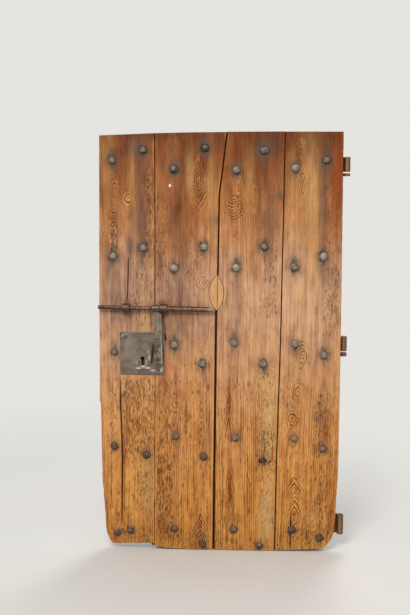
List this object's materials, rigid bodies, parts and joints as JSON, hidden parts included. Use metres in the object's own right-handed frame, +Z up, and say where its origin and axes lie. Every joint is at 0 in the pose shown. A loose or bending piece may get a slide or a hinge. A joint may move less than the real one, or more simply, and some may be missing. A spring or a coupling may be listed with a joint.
{
  "type": "rectangular plank door leaf",
  "caption": "Old rectangular door leaf of wide pine planks nailed to rear battens, with domed nails, a sliding bolt with a hasp, an iron lock plate and rolled hinge eyes.",
  "frame": {"origin": "middle of the lowest hinge eye, on the hinge axis; the leaf hangs upright and its foot lies 116 mm lower", "axes": "+Z up along the hinge axis, +X away from the leaf on the hinge side, so the leaf reaches along -X, and the nailed face with the bolt faces -Y"},
  "size_m": [1.115, 0.112, 1.897],
  "materials": {
    "old_pine": "old waxed pine, worn and worm-eaten",
    "patch_pine": "paler let-in pine",
    "batten_pine": "dull unwaxed pine",
    "nail_iron": "hammered iron, rust-stained",
    "bolt_iron": "brown forged iron, rubbed bright at the tip",
    "hasp_iron": "forged iron, rubbed edges",
    "plate_iron": "hammered sheet iron, grey-brown patina",
    "small_iron": "forged iron",
    "works_iron": "dull forged iron",
    "hinge_iron": "rusty forged iron"
  },
  "bodies": {
    "leaf": {"plank_1": "old_pine", "plank_2": "old_pine", "plank_3": "old_pine", "plank_4": "old_pine", "patch_left": "patch_pine", "patch_right": "patch_pine", "batten_1": "batten_pine", "batten_2": "batten_pine", "batten_3": "batten_pine", "batten_4": "batten_pine", "batten_5": "batten_pine", "nails_row_1": "nail_iron", "nails_row_2": "nail_iron", "nails_row_3": "nail_iron", "nails_row_4": "nail_iron", "nails_row_5": "nail_iron", "bolt_staple_left": "bolt_iron", "bolt_staple_right": "bolt_iron", "lock_plate": "plate_iron", "lock_plate_nails": "small_iron", "lock_rivets": "small_iron", "lock_wards": "works_iron", "lock_guides": "works_iron", "lock_spring": "works_iron", "hinge_top": "hinge_iron", "hinge_middle": "hinge_iron", "hinge_bottom": "hinge_iron", "hinge_nails_top": "small_iron", "hinge_nails_middle": "small_iron", "hinge_nails_bottom": "small_iron"},
    "rod": {"bolt_rod": "bolt_iron"},
    "hasp": {"hasp": "hasp_iron", "hasp_loop": "hasp_iron"},
    "lock_latch": {"lock_bolt": "works_iron"}
  },
  "joints": [
    {"name": "bolt_slide", "type": "slide", "parent": "leaf", "child": "rod", "axis": [-0.9998, 0, 0.0175], "range_m": [0, 0.094]},
    {"name": "hasp_swing", "type": "hinge", "parent": "rod", "child": "hasp", "pos_m": [-0.84, -0.073, 1.009], "axis": [-0.9998, 0, 0.0175], "range_deg": [0, 160]},
    {"name": "lock_bolt_throw", "type": "slide", "parent": "leaf", "child": "lock_latch", "axis": [1, 0, 0], "range_m": [0, 0.028]}
  ]
}
